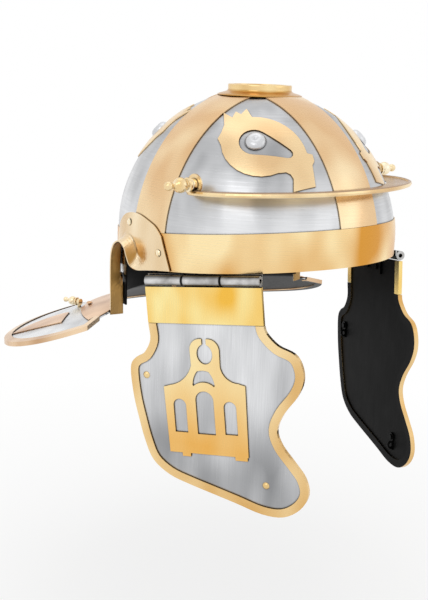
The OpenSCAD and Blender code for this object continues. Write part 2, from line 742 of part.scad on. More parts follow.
// Fixed half: two outer knuckles, a strip over them and a tab riveted inside the bowl
module hinge_skull() {
    color(dark) difference() {
        union() {
            cheek_frame() {
                barrel(0, knuckle_l);
                barrel(hinge_l - knuckle_l, hinge_l);
                for (u = [0, hinge_l - knuckle_l])
                    translate([u, -web_top, -leaf_in - leaf_t]) cube([knuckle_l, web_top, leaf_t]);
                translate([0, -web_top, -leaf_in - leaf_t])
                    cube([hinge_l, web_top - knuckle_r + 0.1, leaf_t]);
            }
            intersection() {
                bowl_shell(-sheet - lay - leaf_t, -sheet - lay);
                cheek_frame() translate([hinge_l / 2 - tab_half_w, -web_top - tab_h, -15])
                    cube([2 * tab_half_w, tab_h + 1.2, 30]);
            }
        }
        cheek_frame() pin_hole(0);
        hinge_rivet_holes();
    }
}

// The tab's two rivets, square to the bowl's side, flush outside and headed over inside
module at_hinge_rivets() {
    on_both_sides() for (k = [-1, 1])
        stand_on_side([hinge_mid.y + hinge_rivet_u * k, hinge_mid.z + web_top + 6], 0) children();
}
hinge_rivet_u = 7;

module hinge_rivet_holes() {
    at_hinge_rivets() translate([0, 0, -8]) cylinder(r = rivet_r + rivet_fit, h = 16, $fn = 16);
}

module hinge_rivets() {
    tab_in = sheet + lay + leaf_t;
    color(dark) at_hinge_rivets() {
        translate([0, 0, -tab_in - 0.6]) cylinder(r = rivet_r, h = tab_in + 0.5, $fn = 16);
        translate([0, 0, -tab_in - 1.1]) cylinder(r = 2.2, h = 1, $fn = 20);
    }
}

module hinge_pin() {
    recess = 2;
    color(dark) cheek_frame() translate([recess, 0, 0]) rotate([0, 90, 0])
        cylinder(r = pin_r, h = hinge_l - 2 * recess, $fn = 24);
}

// Moving half: the middle knuckle and its leaf on the inner face of the cheek plate
plate_t = sheet;
cheek_leaf_h = 16;
module cheek_hinge() {
    u0 = knuckle_l + knuckle_gap;
    color(dark) cheek_frame() difference() {
        union() {
            barrel(u0, hinge_l - u0);
            translate([u0, 1.5, -plate_t / 2 - 0.05 - leaf_t])
                cube([hinge_l - 2 * u0, cheek_leaf_h, leaf_t]);
        }
        pin_hole(lay);
        for (u = cheek_leaf_rivet_u) translate([u, cheek_leaf_rivet_w, -10])
            cylinder(r = rivet_r + rivet_fit, h = 20, $fn = 16);
    }
}
cheek_leaf_rivet_u = [hinge_l / 2 - 7, hinge_l / 2 + 7];
cheek_leaf_rivet_w = 12;

// Outline of the cheek guard from the strip down its front, round the chin and up its rear,
// drawn for a top 85 wide and a height of 167 and then brought to size
cheek_u0 = (hinge_l - cheek_top_w) / 2;
cheek_u1 = cheek_u0 + cheek_top_w;
cheek_drawn = [[-0.1, 30.4], [-1.9, 36.5], [-10, 45], [-21.3, 50.5], [-25.8, 58.8], [-26, 68.7],
    [-20.9, 79.2], [-10.7, 91.6], [-5.1, 104], [-8, 115.7], [-16.9, 128.2], [-23.5, 138.3],
    [-25.1, 149.7], [-18.9, 159.8], [-6.8, 166.5], [8.8, 166], [27.5, 160], [46.2, 154.2],
    [63.5, 148.8], [78.5, 143], [90.5, 133], [95.9, 118.7], [99.5, 101], [102.1, 83.6],
    [102.5, 64.5], [98.5, 57.5], [90.5, 53], [84.6, 43], [84.9, 32]];
function to_size(p) = [cheek_u0 + p[0] * cheek_top_w / 85, p[1] * cheek_h / 167];
cheek_sides = smooth([for (p = cheek_drawn) to_size(p)], 4);

module cheek_outline() {
    polygon(concat([[cheek_u0, cheek_gap]], cheek_sides, [[cheek_u1, cheek_gap]]));
}

cheek_rivet_places = [to_size([91.8, 69.3]), to_size([4.9, 145.8])];

module cheek_plate() {
    color(steel) cheek_frame() difference() {
        translate([0, 0, -plate_t / 2]) linear_extrude(plate_t) cheek_outline();
        for (p = cheek_rivet_places) translate([p[0], p[1], -5])
            cylinder(r = rivet_r + rivet_fit, h = 10, $fn = 16);
        for (u = cheek_leaf_rivet_u) translate([u, cheek_leaf_rivet_w, -5])
            cylinder(r = rivet_r + rivet_fit, h = 10, $fn = 16);
    }
}

// Brass rolled over the edge of the plate, from one end of the top strip to the other
module cheek_binding() {
    grow = binding_t + lay;
    color(gold) cheek_frame() difference() {
        translate([0, 0, -plate_t / 2 - grow]) linear_extrude(plate_t + 2 * grow) difference() {
            offset(r = grow, $fn = 24) cheek_outline();
            offset(delta = -binding_w + grow) cheek_outline();
            translate([-50, -50]) square([200, 50 + cheek_gap + strip_h + 0.3]);
        }
        translate([0, 0, -plate_t / 2 - lay]) linear_extrude(plate_t + 2 * lay)
            offset(delta = lay) cheek_outline();
    }
}

// Brass strip over the top of the plate, wrapped round its front and rear edges
module cheek_strip() {
    grow = brass + lay;
    color(gold) cheek_frame() difference() {
        translate([cheek_u0 - grow - 0.3, cheek_gap, -plate_t / 2 - grow])
            cube([cheek_top_w + 2 * grow + 0.6, strip_h, plate_t + 2 * grow]);
        translate([cheek_u0 - 0.3, cheek_gap - 1, -plate_t / 2 - lay])
            cube([cheek_top_w + 0.6, strip_h + 2, plate_t + 2 * lay]);
        // open on the inside between the two wrapped edges
        translate([cheek_u0 + 5, cheek_gap - 1, -10]) cube([cheek_top_w - 10, strip_h + 2, 10]);
        for (u = cheek_leaf_rivet_u) translate([u, cheek_leaf_rivet_w, -1])
            cylinder(r = rivet_r + rivet_fit, h = plate_t / 2 + lay + 1, $fn = 16);
    }
}

// Front of a small temple: ring on a curved gable, three arched windows and two feet
temple_u = cheek_u0 + 46.7;
temple_half_w = 31.5;
temple_top = 41;
temple_eaves = 76;
temple_foot = 126;
module arch_window(u, half_w, top, bottom) {
    translate([u, top + half_w]) circle(half_w, $fn = 32);
    translate([u - half_w, top + half_w]) square([2 * half_w, bottom - top - half_w]);
}

// Two tabs under the floor line, each as start and end
temple_tabs = [[-29.7, -20.4], [14.2, 20.7]];
tab_drop = 2.6;
function turned_over(p) = [for (i = [len(p) - 1 : -1 : 0]) [-p[i].x, p[i].y]];
// The ring on the gable stands a little forward, and the front eaves are a little higher
temple_ring_u = -2.4;
front_eaves = temple_eaves - 3.4;
// One side from the foot up to the slot in the ring, for its eaves and the ring's place
function temple_side(eaves, ring_u) = concat([[temple_half_w - 1, temple_foot],
    [temple_half_w, eaves + 1], [temple_half_w - 4, eaves]],
    arc([temple_half_w - 5, eaves - 0.4], [ring_u + 11, temple_top + 19.5], -3.4, 8),
    arc([ring_u + 11.2, temple_top + 9], [ring_u + 1.7, temple_top], 3.2, 8));
module temple_outline() {
    feet = [for (t = temple_tabs) each [[t[0], temple_foot], [t[0], temple_foot + tab_drop],
        [t[1], temple_foot + tab_drop], [t[1], temple_foot]]];
    translate([temple_u, 0]) polygon(concat(temple_side(temple_eaves, temple_ring_u),
        turned_over(temple_side(front_eaves, -temple_ring_u)), feet));
}

module temple_cuts() {
    ring_c = temple_top + 11;
    moon_top = temple_eaves - 11.5;
    translate([temple_u, 0]) {
        translate([temple_ring_u, ring_c]) scale([1, 1.2]) circle(6, $fn = 32);
        translate([temple_ring_u - 1.7, temple_top - 5]) square([3.4, 12]);
        polygon(concat(arc([-8.6, moon_top + 10], [-5, moon_top + 0.6], -0.7, 4),
            arc([-4.4, moon_top], [4.4, moon_top], -0.7, 4),
            arc([5, moon_top + 0.6], [8.6, moon_top + 10], -0.7, 4),
            arc([8, moon_top + 11], [-8, moon_top + 11], 3, 10)));
        arch_window(0.3, 7, temple_top + 38, temple_foot - 15);
        arch_window(19.9, 5, temple_top + 44.5, temple_foot - 15.5);
        arch_window(-18.9, 4.8, temple_top + 44.5, temple_foot - 16);
    }
}

module temple() {
    color(gold) cheek_frame() translate([0, 0, plate_t / 2 + lay]) linear_extrude(temple_t)
        difference() {
            temple_outline();
            temple_cuts();
        }
}

module cheek_rivets() {
    loop_t = 1.2;
    color(gold) cheek_frame() {
        for (p = cheek_rivet_places) translate([p[0], p[1], plate_t / 2 + 0.05])
            rivet(plate_t + loop_t + 0.1, 0);
        for (u = cheek_leaf_rivet_u) translate([u, cheek_leaf_rivet_w, 0]) {
            translate([0, 0, -plate_t / 2 - leaf_t - 0.2])
                cylinder(r = rivet_r, h = plate_t + leaf_t + 0.2, $fn = 16);
            translate([0, 0, -plate_t / 2 - leaf_t - 1.1]) cylinder(r = 2.2, h = 1, $fn = 20);
        }
    }
}

// Small loops inside the cheek guard that the chin lace ties to
module tie_loops() {
    loop_t = 1.2;
    wire_r = 0.9;
    color(dark) cheek_frame() for (p = cheek_rivet_places)
        translate([p[0], p[1], -plate_t / 2 - 0.05 - loop_t]) difference() {
            union() {
                cylinder(r = 3.6, h = loop_t, $fn = 24);
                translate([-1.6, 0, 0]) cube([3.2, 10.4, loop_t]);
                translate([0, 6.6, 0.5]) rotate([0, 90, 0]) rotate([0, 0, -90])
                    rotate_extrude(angle = 180, $fn = 32) translate([2.6, 0])
                        circle(wire_r, $fn = 16);
            }
            translate([0, 0, -5]) cylinder(r = rivet_r + rivet_fit, h = 10, $fn = 16);
        }
}

skull_bowl();
rim_band();
cross_band(0);  // cross_band_front
cross_band(180);  // cross_band_rear
cross_band(-90);  // cross_band_right
cross_band(90);  // cross_band_left
crest_collar();
crest_slot_plate();
bird_plate(1, 1);  // bird_front_right
bird_plate(-1, 1);  // bird_front_left
bird_plate(1, -1);  // bird_rear_right
bird_plate(-1, -1);  // bird_rear_left
eye_bosses();
brow_guard();
brow_finial();  // brow_finial_right
mirror([1, 0, 0]) brow_finial();  // brow_finial_left
neck_guard();
neck_guard_binding();
nape_band();
neck_leaf();  // neck_leaf_right
mirror([1, 0, 0]) neck_leaf();  // neck_leaf_left
neck_peg();  // neck_peg_right
mirror([1, 0, 0]) neck_peg();  // neck_peg_left
nape_rivets();
ear_guard();  // ear_guard_right
mirror([1, 0, 0]) ear_guard();  // ear_guard_left
ear_rivets();
hinge_skull();  // hinge_skull_right
mirror([1, 0, 0]) hinge_skull();  // hinge_skull_left
hinge_pin();  // hinge_pin_right
mirror([1, 0, 0]) hinge_pin();  // hinge_pin_left
hinge_rivets();
cheek_hinge();  // cheek_hinge_right
mirror([1, 0, 0]) cheek_hinge();  // cheek_hinge_left
cheek_plate();  // cheek_plate_right
mirror([1, 0, 0]) cheek_plate();  // cheek_plate_left
cheek_binding();  // cheek_binding_right
mirror([1, 0, 0]) cheek_binding();  // cheek_binding_left
cheek_strip();  // cheek_strip_right
mirror([1, 0, 0]) cheek_strip();  // cheek_strip_left
temple();  // temple_right
mirror([1, 0, 0]) temple();  // temple_left
cheek_rivets();  // cheek_rivets_right
mirror([1, 0, 0]) cheek_rivets();  // cheek_rivets_left
tie_loops();  // tie_loops_right
mirror([1, 0, 0]) tie_loops();  // tie_loops_left
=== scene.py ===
# %% [markdown]
# # A brass-mounted infantry helmet
# The solid parts of this helmet were modelled in a CAD program and arrive here as a fixed frame,
# in metres, with the helmet's front towards -Y. The lesson gives every part the surface of the
# real thing: ground steel, buffed brass, bare hinge steel and black paint inside. It spins one
# piece anew, the collar on the crown, and then lights the helmet and places a camera on it.

# %% Load the solid parts
import math
import bpy
from mathutils import Matrix, Vector


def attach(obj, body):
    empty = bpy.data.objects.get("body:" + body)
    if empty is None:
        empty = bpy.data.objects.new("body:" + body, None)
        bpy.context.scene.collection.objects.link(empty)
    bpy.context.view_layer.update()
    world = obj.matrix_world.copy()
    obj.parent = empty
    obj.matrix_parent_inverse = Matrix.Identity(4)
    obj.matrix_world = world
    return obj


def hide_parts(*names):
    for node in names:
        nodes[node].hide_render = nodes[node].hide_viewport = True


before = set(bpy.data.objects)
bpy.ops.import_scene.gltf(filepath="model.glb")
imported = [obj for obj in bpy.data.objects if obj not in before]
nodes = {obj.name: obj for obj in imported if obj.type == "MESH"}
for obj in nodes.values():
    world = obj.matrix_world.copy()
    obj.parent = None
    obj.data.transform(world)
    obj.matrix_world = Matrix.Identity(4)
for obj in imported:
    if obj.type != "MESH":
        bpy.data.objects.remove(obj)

scene = bpy.context.scene
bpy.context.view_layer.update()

# %% [markdown]
# ## The camera
# The photograph was taken a little above the brim, from the front right corner of the helmet.
# A camera could be pointed by eye until the outlines agree. Here points that show on both sides,
# such as the hinges' ends and the tips of the cheek guards, gave its place, its aim and its
# focal length, so it is built from those measures.

# %% Place the camera
TURN, RISE = math.radians(45.16), math.radians(11.4)  # round from the front, and up from level
DISTANCE = 0.746  # metres from the frame's middle
AIM_ASIDE, AIM_DOWN, ROLL = -0.0399, -0.0497, 0.0334  # radians off the middle, and the tilt
FOCAL_MM, FARTHEST = 56.93, 50  # the lens, and how many metres the camera sees

place = DISTANCE * Vector((-math.sin(TURN) * math.cos(RISE), -math.cos(TURN) * math.cos(RISE),
                           math.sin(RISE)))
yaw, pitch = TURN + AIM_ASIDE, AIM_DOWN - RISE
ahead = Vector((math.sin(yaw) * math.cos(pitch), math.cos(yaw) * math.cos(pitch),
                math.sin(pitch)))
level = ahead.cross(Vector((0, 0, 1))).normalized()
upright = level.cross(ahead)
right = math.cos(ROLL) * level + math.sin(ROLL) * upright
up = math.cos(ROLL) * upright - math.sin(ROLL) * level
camera_data = bpy.data.cameras.new("studio_camera")
camera_data.lens = FOCAL_MM
camera_data.clip_end = FARTHEST
camera = bpy.data.objects.new("studio_camera", camera_data)
axes = Matrix((right, up, -ahead)).transposed().to_4x4()
camera.matrix_world = Matrix.Translation(place) @ axes
scene.collection.objects.link(camera)
scene.camera = camera
print("camera", [round(c, 3) for c in place], "m, lens", FOCAL_MM, "mm")

# %% [markdown]
# ## Helpers for materials
# Colours are written as sRGB hex values, as a picture editor shows them, but the renderer counts
# light, so one function turns them. Nodes could be placed by hand in the shader editor. In code,
# one function adds any node with its options and feeds its sockets, and then a material reads
# like a recipe from top to bottom.

# %% Turn colours and sizes
def linear(hex_colour):
    """An sRGB hex colour as the linear colour that the renderer needs."""
    parts = [int(hex_colour[i:i + 2], 16) / 255 for i in (1, 3, 5)]
    return tuple(c / 12.92 if c <= 0.04045 else ((c + 0.055) / 1.055) ** 2.4
                 for c in parts) + (1.0,)


def per_mm(size):
    """The texture scale, in object coordinates, at which one feature is size mm wide."""
    return 1000.0 / size


print("mid grey is", round(linear("#808080")[0], 3), "linear")

# %% Add a node
# a colour mix has several sockets of one name, so its share and its two colours go by number
SHARE, FROM, TO = 0, 6, 7


def add(tree, kind, sockets=None, **settings):
    """Adds a shader node. Each socket gets a value, or the node or output that feeds it."""
    made = tree.nodes.new("ShaderNode" + kind)
    for name, value in settings.items():
        setattr(made, name, value)
    for name, value in (sockets or {}).items():
        if isinstance(value, bpy.types.Node):
            value = next(output for output in value.outputs if output.enabled)
        if isinstance(value, bpy.types.NodeSocket):
            tree.links.new(value, made.inputs[name])
        else:
            made.inputs[name].default_value = value
    return made


def new_material(name):
    """An empty material, its node tree and its coordinates node."""
    material = bpy.data.materials.new(name)
    material.use_nodes = True
    tree = material.node_tree
    tree.nodes.clear()
    return material, tree, add(tree, "TexCoord")


print("a polishing line of 0.5 mm repeats", per_mm(0.5), "times a metre")

# %% [markdown]
# ## What both metals share
# Sheet metal that was worked by hand is never quite flat. It rolls gently over a centimetre or
# two, and the polishing wheel leaves fine lines that all run one way. A picture of scratches
# would need an unwrapped surface and blur close up. A noise in the part's own coordinates needs
# neither: a round one gives the rolling, and one drawn out along an axis gives the lines. A thin
# dark line round every plate, where a brass plate meets the steel, is painted shade with a
# little dirt and old polish. Ambient occlusion over a millimetre or two finds those corners on
# any shape.

# %% Draw out the wheel's lines
def drawn_out(tree, coords, lines, across_mm, along_mm, detail=3.0):
    """A noise drawn out along the axes named in lines, like the marks of a wheel."""
    scale = [per_mm(along_mm if axis in lines else across_mm) for axis in "xyz"]
    placed = add(tree, "Mapping", {"Vector": coords.outputs["Object"], "Scale": scale})
    return add(tree, "TexNoise", {"Vector": placed, "Scale": 1.0, "Detail": detail,
                                  "Roughness": 0.6})


ROLL_MM = 0.5  # how deep the sheet rolls


def worked_relief(tree, rolling, marks, roll_share, marks_mm, marks_share):
    """The relief of a hand-worked sheet: its rolling, and the wheel's lines on that."""
    soft = add(tree, "Bump", {"Height": rolling, "Distance": ROLL_MM / 1000,
                              "Strength": roll_share})
    return add(tree, "Bump", {"Height": marks, "Distance": marks_mm / 1000,
                              "Strength": marks_share, "Normal": soft})


print("the sheets roll by up to", ROLL_MM, "mm")

# %% Paint shade and dirt into the corners, and shade with height
def shade_and_dirt_in_corners(tree, tone, corner_tone, reach_mm, shut, free, most):
    """A tone with painted shade and dirt: none where the view over reach_mm is free, most where
    it's shut.
    """
    view = add(tree, "AmbientOcclusion", {"Distance": reach_mm / 1000}, samples=8)
    share = add(tree, "MapRange", {"Value": view.outputs["AO"], "From Min": shut,
                                   "From Max": free, "To Min": most, "To Max": 0.0})
    return add(tree, "Mix", {SHARE: share, FROM: tone, TO: corner_tone}, data_type="RGBA")


def with_height(tree, coords, share, start, end, most):
    """Adds to a share, from 0 at one height to most at another, both in metres."""
    split = add(tree, "SeparateXYZ", {0: coords.outputs["Object"]})
    more = add(tree, "MapRange", {"Value": split.outputs["Z"], "From Min": start,
                                  "From Max": end, "To Max": most})
    return add(tree, "Math", {0: share, 1: more}, operation="ADD", use_clamp=True)


print("a tone can change in corners and with height")

# %% [markdown]
# ## Black paint on the inner side
# Inside, the helmet is brushed with matt black paint against rust. The brush went over the
# rivets, the hinge leaves and the inner lip of the brass edging too. Inner shells could be
# modelled and painted, but paint has no thickness that shows. So one function does it for every
# metal: where the surface faces away from an outward direction, its colour turns to paint and it
# stops being a metal. On the bowl, outward is away from a point in the middle of the head.

# %% Mix the black paint
PAINT, PAINT_GREY = linear("#040404"), linear("#101010")
PAINT_ROUGHER, STROKES_MM = 0.1, 20  # rougher than the metal by this, in strokes this wide
HEAD_MIDDLE = (0, 0, 0.013)  # metres
# the bowl's outside round the ear opening is painted black too: ahead of this line and below
# this height
EAR_BACK, EAR_TOP = 0.052, -0.012


def painted_inside(tree, coords, tone, rough, outward, limit=0.0):
    """Paints the side that faces in, and gives back tone, roughness and metallic.

    outward is "middle" or a direction; a surface is painted where its cosine to it is under
    limit.
    """
    around_middle = outward == "middle"
    if around_middle:
        away = add(tree, "VectorMath", {0: coords.outputs["Object"], 1: HEAD_MIDDLE},
                   operation="SUBTRACT")
        outward = add(tree, "VectorMath", {0: away}, operation="NORMALIZE")
    cosine = add(tree, "VectorMath", {0: coords.outputs["Normal"], 1: outward},
                 operation="DOT_PRODUCT")
    inside = add(tree, "Math", {0: cosine, 1: limit}, operation="LESS_THAN")
    if around_middle:
        spot = add(tree, "SeparateXYZ", {0: coords.outputs["Object"]})
        ahead_of = add(tree, "Math", {0: spot.outputs["Y"], 1: EAR_BACK}, operation="LESS_THAN")
        below = add(tree, "Math", {0: spot.outputs["Z"], 1: EAR_TOP}, operation="LESS_THAN")
        edge = add(tree, "Math", {0: ahead_of, 1: below}, operation="MULTIPLY")
        inside = add(tree, "Math", {0: inside, 1: edge}, operation="MAXIMUM")
    strokes = add(tree, "TexNoise", {"Vector": coords.outputs["Object"],
                                     "Scale": per_mm(STROKES_MM), "Detail": 2.0})
    thin = add(tree, "MapRange", {"Value": strokes, "From Min": 0.4, "From Max": 0.7})
    paint = add(tree, "Mix", {SHARE: thin, FROM: PAINT, TO: PAINT_GREY}, data_type="RGBA")
    tone = add(tree, "Mix", {SHARE: inside, FROM: tone, TO: paint}, data_type="RGBA")
    rough = add(tree, "Math", {0: inside, 1: PAINT_ROUGHER, 2: rough},
                operation="MULTIPLY_ADD")
    metallic = add(tree, "Math", {0: 1.0, 1: inside}, operation="SUBTRACT")
    return tone, rough, metallic


print("black paint in strokes", STROKES_MM, "mm wide")

# %% Put a metal together
PAINT_GLOSS = 0.05  # the specular level: weak, because the paint is matt; bare metal ignores it


def metal_surface(tree, tone, rough, metallic, normal):
    """Joins a metal's colour, roughness and relief, and its paint, to the output."""
    surface = add(tree, "BsdfPrincipled", {
        "Base Color": tone, "Roughness": rough, "Metallic": metallic, "Normal": normal,
        "Specular IOR Level": PAINT_GLOSS})
    add(tree, "OutputMaterial", {"Surface": surface})


print("gloss of the paint", PAINT_GLOSS)

# %% Find which way each cheek guard faces
SIDE_TURN = math.radians(24)
SIDE_OUT = {"right": (-math.cos(SIDE_TURN), -math.sin(SIDE_TURN), 0),
            "left": (math.cos(SIDE_TURN), -math.sin(SIDE_TURN), 0)}
print("the cheek guards face", {side: [round(c, 2) for c in out]
                                for side, out in SIDE_OUT.items()})

# %% [markdown]
# ## Satin steel
# The bowl, the neck guard and the cheek guards are mild steel sheet, ground with a fine wheel to
# a satin grey. The eye sees a soft, broad gleam with smears of lighter and darker grey, partly
# where the wheel pressed more or less and partly painted reflections, and each sheet is painted
# darker towards one end as painted shade. An anisotropic shader could draw out the gleam, but it
# follows the tangents of an unwrapped surface, and these sheets aren't unwrapped. Smears in the
# colour and fine lines in the relief need no unwrapping and read as ground steel from every
# side.

# %% Mix the satin steel
# the worn grey stands partly for wear and partly for painted reflections; the darkest grey is
# painted shade with a little dirt
STEEL, STEEL_WEAR_AND_SHADE, STEEL_SHADE_AND_DIRT = linear("#F4F5F7"), linear("#949597"), linear("#1A1918")


def satin_steel(name, lines, outward=None, grey_height_shade=None, patchy=0.25):
    """Ground steel. The grey that can deepen with height, given as (start, end, most), is
    painted shade.
    """
    material, tree, coords = new_material(name)
    # real grinding lines are finer than a pixel here, so they are drawn 0.7 mm wide
    marks = drawn_out(tree, coords, lines, across_mm=0.7, along_mm=30)
    rolling = add(tree, "TexNoise", {"Vector": coords.outputs["Object"], "Scale": per_mm(24),
                                     "Detail": 1.0})
    # the patches and smears are partly uneven grinding and partly painted reflections
    patches = drawn_out(tree, coords, "z", across_mm=44, along_mm=90, detail=1.0)
    smears = drawn_out(tree, coords, "z", across_mm=20, along_mm=70, detail=1.0)
    wear_and_shade = add(tree, "MapRange", {"Value": patches, "From Min": 0.36, "From Max": 0.66,
                                  "To Max": patchy})
    smeared = add(tree, "MapRange", {"Value": smears, "From Min": 0.42, "From Max": 0.66,
                                     "To Max": 0.25})
    wear_and_shade = add(tree, "Math", {0: wear_and_shade, 1: smeared}, operation="ADD", use_clamp=True)
    if grey_height_shade:
        wear_and_shade = with_height(tree, coords, wear_and_shade, *grey_height_shade)
    tone = add(tree, "Mix", {SHARE: wear_and_shade, FROM: STEEL, TO: STEEL_WEAR_AND_SHADE}, data_type="RGBA")
    lined = add(tree, "MapRange", {"Value": marks, "From Min": 0.3, "From Max": 0.8,
                                   "To Max": 0.22})
    tone = add(tree, "Mix", {SHARE: lined, FROM: tone, TO: STEEL_WEAR_AND_SHADE}, data_type="RGBA")
    # painted shade, with a little dirt, in the corners round every plate
    tone = shade_and_dirt_in_corners(tree, tone, STEEL_SHADE_AND_DIRT, reach_mm=1.5, shut=0.5, free=0.92, most=0.95)
    rough = add(tree, "MapRange", {"Value": marks, "From Min": 0.3, "From Max": 0.7,
                                   "To Min": 0.26, "To Max": 0.38})
    metallic = 1.0
    if outward:
        tone, rough, metallic = painted_inside(tree, coords, tone, rough, outward)
    normal = worked_relief(tree, rolling, marks, roll_share=0.14, marks_mm=0.02,
                           marks_share=0.25)
    metal_surface(tree, tone, rough, metallic, normal)
    return material


# %% Grind the steel sheets
# painted shade: the bowl turns greyer higher up, and the cheek guards lower down
bowl_steel = satin_steel("satin_steel_bowl", "xy", outward="middle",
                         grey_height_shade=(0.035, 0.075, 0.45))
boss_steel = satin_steel("satin_steel_bosses", "x")
neck_steel = satin_steel("satin_steel_neck", "x", outward=(0, 0, 1))
plate_steel = {side: satin_steel("satin_steel_cheek_" + side, "z", outward=SIDE_OUT[side],
                                 grey_height_shade=(-0.08, -0.14, 0.42), patchy=0.5)
               for side in SIDE_OUT}
print("satin steel in", 3 + len(plate_steel), "versions")

# %% [markdown]
# ## Polished brass
# The bands, the brow guard, the plates and the bindings are yellow brass sheet, buffed bright.
# Brass tarnishes towards brown where a cloth can't reach, so its colour deepens in soft patches,
# and in the corners, where painted shade adds to the tarnish. Some parts are also painted darker
# with height or on one side, as painted shade. One flat yellow would look like plastic: two
# tones mixed by a broad noise give the warm and pale parts that the eye knows from brass. The
# buffing is finer than the steel's grinding, and the light on it stays sharper.

# %% Find the sides given painted shade
def towards(tree, coords, direction, start, end, most):
    """From 0 to most as the surface turns to a direction, from one cosine to another."""
    cosine = add(tree, "VectorMath", {0: coords.outputs["Normal"], 1: direction},
                 operation="DOT_PRODUCT")
    return add(tree, "MapRange", {"Value": cosine, "From Min": start, "From Max": end,
                                  "To Max": most})


print("a cosine of 0.6 is", round(math.degrees(math.acos(0.6))), "degrees off a direction")

# %% Mix the polished brass
# the tarnish in the brass's corners, darkened further as painted shade
TARNISH_AND_SHADE = linear("#3A260F")
SIDE_SHADE_MOST, SIDE_SHADE_METAL = 0.85, 0.25  # how far the painted shade darkens and dulls the side that takes it


def polished_brass(name, light, deep, lines="xy", roughness=0.26, patch_mm=34, patchy=1.0,
                   deep_height_shade=None, outward=None, limit=0.0, shaded_side=None, side_shade="#A58468"):
    """Buffed brass sheet, from a light tone to a deep one, with tarnish and painted shade in its
    corners.

    The tone can deepen with height as painted shade, given as (start, end, most), and the side
    that faces a given direction can take a painted shade of a given colour.
    """
    material, tree, coords = new_material(name)
    # a buffing cloth's lines are too fine to show here, so they are drawn 0.5 mm wide
    marks = drawn_out(tree, coords, lines, across_mm=0.5, along_mm=25)
    rolling = add(tree, "TexNoise", {"Vector": coords.outputs["Object"], "Scale": per_mm(20),
                                     "Detail": 1.0})
    patches = drawn_out(tree, coords, "z", patch_mm, 2 * patch_mm, detail=1.2)
    depth = add(tree, "MapRange", {"Value": patches, "From Min": 0.34, "From Max": 0.68,
                                   "To Max": patchy})
    if deep_height_shade:
        depth = with_height(tree, coords, depth, *deep_height_shade)
    tone = add(tree, "Mix", {SHARE: depth, FROM: linear(light), TO: linear(deep)},
               data_type="RGBA")
    metallic = 1.0
    # painted shade on the side that faces the given direction
    if shaded_side:
        share = towards(tree, coords, shaded_side, start=0.6, end=0.9, most=SIDE_SHADE_MOST)
        tone = add(tree, "Mix", {SHARE: share, FROM: tone, TO: linear(side_shade)},
                   data_type="RGBA")
        metallic = add(tree, "MapRange", {"Value": share, "From Max": SIDE_SHADE_MOST,
                                          "To Min": 1.0, "To Max": SIDE_SHADE_METAL})
    # tarnish and painted shade in the corners
    tone = shade_and_dirt_in_corners(tree, tone, TARNISH_AND_SHADE, reach_mm=1.6, shut=0.45, free=0.9, most=0.9)
    rough = add(tree, "MapRange", {"Value": marks, "From Min": 0.3, "From Max": 0.7,
                                   "To Min": roughness - 0.05, "To Max": roughness + 0.05})
    if outward:
        tone, rough, metallic = painted_inside(tree, coords, tone, rough, outward, limit)
    normal = worked_relief(tree, rolling, marks, roll_share=0.12, marks_mm=0.01,
                           marks_share=0.12)
    metal_surface(tree, tone, rough, metallic, normal)
    return material


# %% Buff the brass of the bowl
rim_brass = polished_brass("polished_brass_rim", "#FFE8B4", "#DA9A40")
# painted shade: the cross bands deepen higher up
strap_brass = polished_brass("polished_brass_straps", "#FFEBC2", "#E2BB8C", patchy=0.8,
                             deep_height_shade=(0.05, 0.1, 0.5))
# painted shade on the brow guard's top
shelf_brass = polished_brass("polished_brass_brow", "#F8DFB0", "#D8B280", shaded_side=(0, 0, 1))
turned_brass = polished_brass("polished_brass_turned", "#FFF4D8", "#EBCB92", roughness=0.18,
                              patch_mm=12)
# painted shade: the collar deepens towards its foot
collar_brass = polished_brass("polished_brass_collar", "#FCE2AA", "#C9954B", roughness=0.22,
                              patch_mm=20, patchy=0.5, deep_height_shade=(0.1268, 0.1248, 0.9))
bird_brass = polished_brass("polished_brass_birds", "#F8DEB0", "#E2BF90")
# painted shade on the forward-facing side of the ear guards
ear_brass = polished_brass("polished_brass_ear", "#FBE9C8", "#CDA264", "z", roughness=0.24,
                           patch_mm=30, patchy=0.6, shaded_side=(0, -1, 0), side_shade="#B98A3C")
neck_brass = polished_brass("polished_brass_neck", "#EFC9A4", "#BE936C", "x", roughness=0.3)
neck_edge_brass = polished_brass("polished_brass_neck_edging", "#F3D6B2", "#C39A74", "x",
                                 outward=(0, 0, 1), limit=-0.6)
print("brass for the bowl and the neck, such as", rim_brass.name)

# %% Buff the brass of the cheek guards
# painted shade: the temples deepen lower down
temple_brass = polished_brass("polished_brass_temples", "#FFEBB4", "#EDB35A", "z",
                              roughness=0.3, patchy=0.35, deep_height_shade=(-0.07, -0.12, 0.7))
strip_brass = polished_brass("polished_brass_strips", "#FFECA6", "#F6C04E", "z",
                             roughness=0.28, patch_mm=26)
edge_brass = {side: polished_brass("polished_brass_edging_" + side, "#F9DDA8", "#DDAE68",
                                   outward=SIDE_OUT[side], limit=-0.3) for side in SIDE_OUT}
rivet_brass = {side: polished_brass("polished_brass_rivets_" + side, "#F6DCA4", "#D9B06E",
                                    outward=SIDE_OUT[side], limit=0.1) for side in SIDE_OUT}
print("polished brass in", sum(material.name.startswith("polished_brass")
                               for material in bpy.data.materials), "versions")

# %% [markdown]
# ## Hinge steel
# The hinges are bent from plain steel strip and left as they came from the rolls, greyer and
# duller than the ground sheet. Painted shade darkens the gaps between their knuckles and the top
# and bottom of the barrel, which makes the barrel read as round. Modelled gaps alone are too
# narrow to show from here, so the shade in them is a tone worked out from the distance along the
# pin. The tie loops are the same strip, painted all over.

